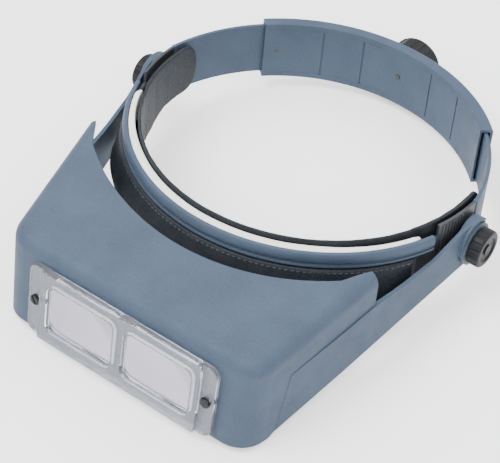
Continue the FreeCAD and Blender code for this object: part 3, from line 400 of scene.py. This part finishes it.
def paint_nodes():
    """Gives every CAD node the finish of its material slot, and returns the finishes."""
    finishes = {
        "shell_plastic": moulded("matte_shell", (0.050, 0.072, 0.110), (0.092, 0.122, 0.168), 0.55,
                                 specular=0.16),
        "core_plastic": moulded("dark_core", (0.022, 0.024, 0.030), (0.05, 0.055, 0.065), 0.48),
        "collar_plastic": moulded("grey_collar", (0.068, 0.092, 0.125), (0.13, 0.16, 0.20), 0.50,
                                  specular=0.2),
        "knob_plastic": moulded("knob_black", (0.011, 0.011, 0.013), (0.035, 0.035, 0.038), 0.45,
                                grain=3200.0, specular=0.15),
        "clear_plate": clear_material("clear_plate", (0.85, 0.88, 0.94), 0.05, 0.06),
        "lens_glass": clear_material("clear_lens", (0.92, 0.89, 1.0), 0.02, 0.0, 1.52),
        "screw_steel": metal("black_screw", (0.035, 0.035, 0.038), 0.40),
        "steel": metal("bright_steel", (0.62, 0.63, 0.64), 0.30, 0.1),
        "brass": metal("turned_brass", (0.72, 0.55, 0.28), 0.32, 0.1),
        "fibre": fibre_material(),
        "bearing_plastic": moulded("natural_plastic", (0.72, 0.72, 0.69), (0.82, 0.82, 0.80), 0.40,
                                   shift=0.04),
        "leather": leather_material(),
        "foam": foam_material(),
    }
    for part in frame["record"]["subparts"]:
        node = frame["nodes"][part["node"]]
        node.data.materials.clear()
        node.data.materials.append(finishes[part["material_slot"]])
    return finishes


# ---------------------------------------------------------------- headband padding

def around(radius, degrees_from_x, centre_y=FRONT_CENTRE_Y):
    a = radians(degrees_from_x)
    return radius * cos(a), centre_y + radius * sin(a)


def inner_face_radius(angle):
    """Distance from the front centre to the leather's flatter forehead side, at an angle."""
    centre_y = ((LEATHER_INNER_SIDE ** 2 + PIVOT_Y ** 2 - LEATHER_INNER_FRONT ** 2)
                / (2 * (LEATHER_INNER_FRONT + PIVOT_Y)))
    radius = LEATHER_INNER_FRONT + centre_y
    offset = centre_y - FRONT_CENTRE_Y
    s = offset * sin(radians(angle))
    return s + sqrt(s * s - offset * offset + radius * radius)


def smooth_step(t):
    """0 below 0, 1 above 1, and a smooth rise between."""
    t = max(0.0, min(1.0, t))
    return t * t * (3 - 2 * t)


def sweep(name, stations):
    """Skin of quads over rings of points; the first and last rings are closed by a fan."""
    count = len(stations[0])
    vertices = [p for ring in stations for p in ring]
    faces = []
    for i in range(len(stations) - 1):
        for j in range(count):
            k = (j + 1) % count
            faces.append((i * count + j, i * count + k, (i + 1) * count + k, (i + 1) * count + j))
    for ring, flip in ((0, False), (len(stations) - 1, True)):
        middle = sum((Vector(p) for p in stations[ring]), Vector()) / count
        vertices.append(middle)
        hub = len(vertices) - 1
        for j in range(count):
            k = (j + 1) % count
            loop = (ring * count + j, hub, ring * count + k)
            faces.append(loop if not flip else loop[::-1])
    made = mesh_object(name, vertices, faces)
    bm = bmesh.new()
    bm.from_mesh(made.data)
    bmesh.ops.recalc_face_normals(bm, faces=bm.faces)
    bm.to_mesh(made.data)
    bm.free()
    return made


def resampled(points, count):
    """The closed line through points, cut into count equal steps."""
    lengths = [0.0]
    for i in range(len(points)):
        a, b = points[i], points[(i + 1) % len(points)]
        lengths.append(lengths[-1] + hypot(b[0] - a[0], b[1] - a[1]))
    total = lengths[-1]
    out = []
    seg = 0
    for i in range(count):
        s = total * i / count
        while lengths[seg + 1] < s:
            seg += 1
        a, b = points[seg], points[(seg + 1) % len(points)]
        span = lengths[seg + 1] - lengths[seg] or 1.0
        t = (s - lengths[seg]) / span
        out.append((a[0] + (b[0] - a[0]) * t, a[1] + (b[1] - a[1]) * t))
    return out


def eased(points, rounds):
    """Rounds the corners of a closed line by averaging neighbours."""
    for _ in range(rounds):
        count = len(points)
        points = [((points[i - 1][0] + 2 * points[i][0] + points[(i + 1) % count][0]) / 4,
                   (points[i - 1][1] + 2 * points[i][1] + points[(i + 1) % count][1]) / 4)
                  for i in range(count)]
    return points


def foam_section(angle):
    """The foam's outline at an angle, as (radius, height) points."""
    thinned = FOAM_THINS * smooth_step((abs(angle + 90) - 32.0) / 30.0)
    inner = FOAM_INNER + FOAM_TRIM + thinned
    lower = FOAM_LOWER_OUTER - FOAM_TRIM
    upper = FOAM_UPPER_OUTER - FOAM_TRIM / 2
    step = FOAM_STEP + FOAM_TRIM
    top = FOAM_TOP + FOAM_PROUD
    bottom = FOAM_BOTTOM + FOAM_TRIM
    box = [(inner, bottom), (lower, bottom), (lower, step), (upper, step), (upper, top), (inner, top)]
    return eased(resampled(box, FOAM_RING), CORNER_EASING)


def foam_strip():
    """The foam between the leather and the rail, with cut ends and an uneven skin."""
    middle = ((FOAM_INNER + FOAM_LOWER_OUTER) / 2, (FOAM_BOTTOM + FOAM_TOP) / 2)
    stations = []
    for i in range(FOAM_STEPS + 1):
        angle = -180 - FOAM_END + (FOAM_END + 180 + FOAM_END) * i / FOAM_STEPS
        end = min(i, FOAM_STEPS - i) / 5.0
        shrink = 1 - 0.35 * (1 - smooth_step(end)) ** 2
        points = []
        for r, z in foam_section(angle):
            r = middle[0] + (r - middle[0]) * shrink
            z = middle[1] + (z - middle[1]) * (0.5 + 0.5 * shrink)
            x, y = around(r, angle)
            spot = Vector((x, y, z))
            rough = noise.noise(spot * 0.9) * 0.10 + noise.noise(spot * 2.3) * 0.05
            x, y = around(r + rough, angle)
            wave = 0.12 * noise.noise(Vector((x, y, 3.0)) * 0.12)
            points.append(at(x, y, z + rough * 0.8 + wave))
        stations.append(points)
    return sweep("foam_padding", stations)


def leather_flare(angle):
    """How far the flap's lower part stands out, by how near it is to the temples."""
    side = smooth_step((angle + 75.0) / 35.0)
    tuck = smooth_step((LEATHER_FLAP_END - angle) / 10.0)
    return (1.2 + 3.6 * side) * tuck


def leather_heights(y):
    """Lower and upper edge of the leather at a distance behind the head centre."""
    taper = smooth_step((y - LEATHER_TAPER_Y) / (0 - LEATHER_TAPER_Y))
    low = LEATHER_BOTTOM + (LEATHER_LOW_END - LEATHER_BOTTOM) * taper
    top = LEATHER_TOP
    to_end = LEATHER_END_Y - y
    if to_end < LEATHER_END_ROUND:
        run = LEATHER_END_ROUND - to_end
        drop = LEATHER_END_ROUND - sqrt(max(LEATHER_END_ROUND ** 2 - run ** 2, 0.0))
        top -= drop
        low += drop
    return low, top


def leather_section(side_angle, inner, low, top):
    """The leather's outline at an angle, as (radius, height) points.

    In front, the sheet passes under the core and folds up outside into a flap that stands out.
    """
    if side_angle >= LEATHER_FLAP_END:
        leaf = LEATHER_OUTER_SIDE if side_angle > FOAM_END + 0.4 else SHEET_OUTER
        return [(inner, top), (leaf, top), (leaf, low), (inner, low)]
    flare = leather_flare(side_angle)
    floor = low + LEATHER_FOLD
    close = min(1.0, (LEATHER_FLAP_END - side_angle) / 2.0)
    thickness = LEATHER_FLAP_THICKNESS * (0.55 + 0.45 * smooth_step(close))
    back = RAIL_INNER + 0.1
    face = RAIL_INNER + thickness
    return [(inner, top), (SHEET_OUTER, top), (SHEET_OUTER, floor + 1.0), (SHEET_OUTER + 1.2, floor),
            (back, floor), (back + flare * 0.15, FLARE_Z),
            (RAIL_INNER + 0.6, LEATHER_FLAP_TOP), (face - 0.6, LEATHER_FLAP_TOP),
            (face + flare * 0.5, FLARE_Z), (face + flare, low + 3.5),
            (face + flare * 0.4, low), (inner, low)]


def leather_band():
    """The leather round the forehead: a crowned pad inside and a rippled flap outside."""
    end = degrees(asin((LEATHER_END_Y - FRONT_CENTRE_Y) / LEATHER_OUTER_SIDE))
    pad_depth = 1.05
    stations = []
    for i in range(LEATHER_STEPS + 1):
        angle = -180 - end + (180 + 2 * end) * i / LEATHER_STEPS
        side_angle = angle if angle >= -90 else -180 - angle
        _, y = around(LEATHER_OUTER_SIDE, side_angle)
        low, top = leather_heights(y)
        inner = inner_face_radius(angle)
        outline = leather_section(side_angle, inner, low, top)
        droop = HEM_DROOP * noise.noise(Vector((angle * 0.2, 9.3, 0.0)))
        points = []
        for r, z in eased(resampled(outline, LEATHER_RING), CORNER_EASING):
            height = (z - low) / max(top - low, 1.0)
            swell = 0.0
            if r < inner + pad_depth:
                swell = -PAD_SWELL * sin(pi * max(0.0, min(1.0, height)))
                swell += PAD_PLEAT * noise.noise(Vector((angle * 0.35, z * 0.05, 1.7)))
            elif r > RAIL_INNER + 2.0:
                swell = FLAP_RIPPLE * noise.noise(Vector((angle * 0.16, z * 0.07, 6.1)))
            x, y = around(r + swell, angle)
            hem = max(droop, -0.1) if z < low + 3 else 0.0
            points.append(at(x, y, z + hem))
        stations.append(points)
    return sweep("leather_band", stations)


def stitch(name, path, pitch, length, radius):
    """A row of short thread stitches along a path of (point, outward) pairs."""
    vertices = []
    faces = []
    sides = 6
    along = 5
    walked = 0.0
    next_at = pitch / 2
    for i in range(len(path) - 1):
        (a, out), (b, _) = path[i], path[i + 1]
        step = (b - a).length
        while next_at < walked + step:
            t = (next_at - walked) / step
            centre = a.lerp(b, t)
            forward = (b - a).normalized()
            side = forward.cross(out).normalized()
            start = len(vertices)
            for j in range(along + 1):
                u = j / along
                lift = sin(pi * u)
                middle = centre + forward * (u - 0.5) * length + out * radius * (1.1 * lift - 0.9)
                thick = radius * (0.35 + 0.65 * sin(pi * min(max(u, 0.08), 0.92)))
                for k in range(sides):
                    a2 = 2 * pi * k / sides
                    vertices.append(middle + (out * cos(a2) + side * sin(a2)) * thick)
            for j in range(along):
                for k in range(sides):
                    m = (k + 1) % sides
                    faces.append((start + j * sides + k, start + j * sides + m,
                                  start + (j + 1) * sides + m, start + (j + 1) * sides + k))
            faces.append(tuple(start + k for k in reversed(range(sides))))
            faces.append(tuple(start + along * sides + k for k in range(sides)))
            next_at += pitch
        walked += step
    return mesh_object(name, vertices, faces)


def seam_path(start, radius_at, height, outwards):
    """Points and outward directions along the headband, from start round to the other side."""
    path = []
    for i in range(SEAM_POINTS + 1):
        angle = start + (-180 - 2 * start) * i / SEAM_POINTS
        x, y = around(radius_at(angle), angle)
        out = Vector((cos(radians(angle)), sin(radians(angle)), 0)) * outwards
        path.append((at(x, y, height), turn.to_3x3() @ out))
    return path


def flap_radius(_angle):
    return RAIL_INNER + LEATHER_FLAP_THICKNESS - 0.35


def brow_radius(angle):
    return inner_face_radius(angle) - 0.05


# ---------------------------------------------------------------- build

finishes = paint_nodes()
add_camera()
add_floor()
add_lights()

foam = foam_strip()
foam.data.materials.append(finishes["foam"])
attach(foam, "headband")
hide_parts("foam_strip")

band = leather_band()
band.data.materials.append(finishes["leather"])
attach(band, "headband")
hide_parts("comfort_band")

thread = thread_material()
flap_seam = seam_path(-180 - LEATHER_FLAP_END + 3, flap_radius, LEATHER_FLAP_TOP - 1.6, 1)
brow_seam = seam_path(-180 + 4, brow_radius, LEATHER_TOP - 3.0, -1)
for name, path in (("flap_stitches", flap_seam), ("brow_stitches", brow_seam)):
    seam = stitch(name, path, STITCH_PITCH, STITCH_LENGTH, THREAD_RADIUS)
    seam.data.materials.append(thread)
    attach(seam, "headband")
